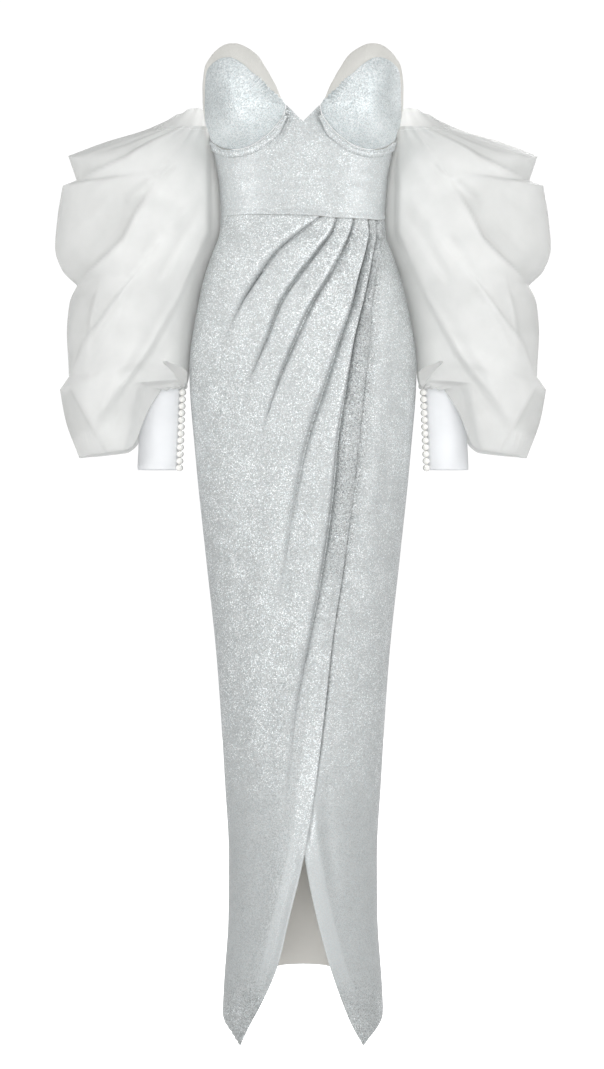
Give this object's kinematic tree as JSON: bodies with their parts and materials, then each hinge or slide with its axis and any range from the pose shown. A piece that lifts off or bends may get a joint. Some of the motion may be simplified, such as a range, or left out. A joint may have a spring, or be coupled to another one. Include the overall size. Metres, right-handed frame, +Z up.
{
  "type": "wedding dress",
  "caption": "Strapless floor-length column wedding gown in silver-white glitter cloth, with a wrapped pleated skirt, front slit, organza balloon sleeves and pearl-buttoned cuffs.",
  "frame": {"origin": "on the body's axis at the height of the waist seam, where the wearer's waist holds the gown up", "axes": "+Z up, the gown's front faces -Y, the wearer's left is +X"},
  "size_m": [0.714, 0.264, 1.4127],
  "materials": {
    "glitter_cloth": "silver-white glitter cloth, fine flakes of metallic yarn that catch the light",
    "ivory_facing": "ivory cloth, soft matte",
    "taupe_lining": "plain taupe lining, slight sheen",
    "white_organza": "crisp sheer white organza, soft sheen",
    "white_satin": "smooth white satin, long highlights",
    "pearl": "glossy pearl with a warm white lustre",
    "zip_metal": "small nickel-plated zip slider and pull"
  },
  "bodies": {
    "gown": {"bodice_back_left": "glitter_cloth", "bodice_back_right": "glitter_cloth", "bodice_front": "glitter_cloth", "cup_left": "glitter_cloth", "cup_facing_left": "ivory_facing", "wire_casing_left": "glitter_cloth", "cup_right": "glitter_cloth", "cup_facing_right": "ivory_facing", "wire_casing_right": "glitter_cloth", "skirt_front_wrap": "glitter_cloth", "skirt_front_under": "glitter_cloth", "skirt_back_left": "glitter_cloth", "skirt_back_right": "glitter_cloth", "skirt_back_lining": "taupe_lining", "sleeve_left": "white_organza", "cuff_left": "white_satin", "button_left_01": "pearl", "button_left_02": "pearl", "button_left_03": "pearl", "button_left_04": "pearl", "button_left_05": "pearl", "button_left_06": "pearl", "button_left_07": "pearl", "button_left_08": "pearl", "button_left_09": "pearl", "button_left_10": "pearl", "button_left_11": "pearl", "button_left_12": "pearl", "sleeve_right": "white_organza", "cuff_right": "white_satin", "button_right_01": "pearl", "button_right_02": "pearl", "button_right_03": "pearl", "button_right_04": "pearl", "button_right_05": "pearl", "button_right_06": "pearl", "button_right_07": "pearl", "button_right_08": "pearl", "button_right_09": "pearl", "button_right_10": "pearl", "button_right_11": "pearl", "button_right_12": "pearl", "zip_slider": "zip_metal"},
    "pull_tab": {"zip_pull": "zip_metal"}
  },
  "joints": [
    {"name": "pull_tab_hinge", "type": "hinge", "parent": "gown", "child": "pull_tab", "pos_m": [0, 0.0897, 0.08], "axis": [1, 0, 0], "range_deg": [0, 150]}
  ]
}
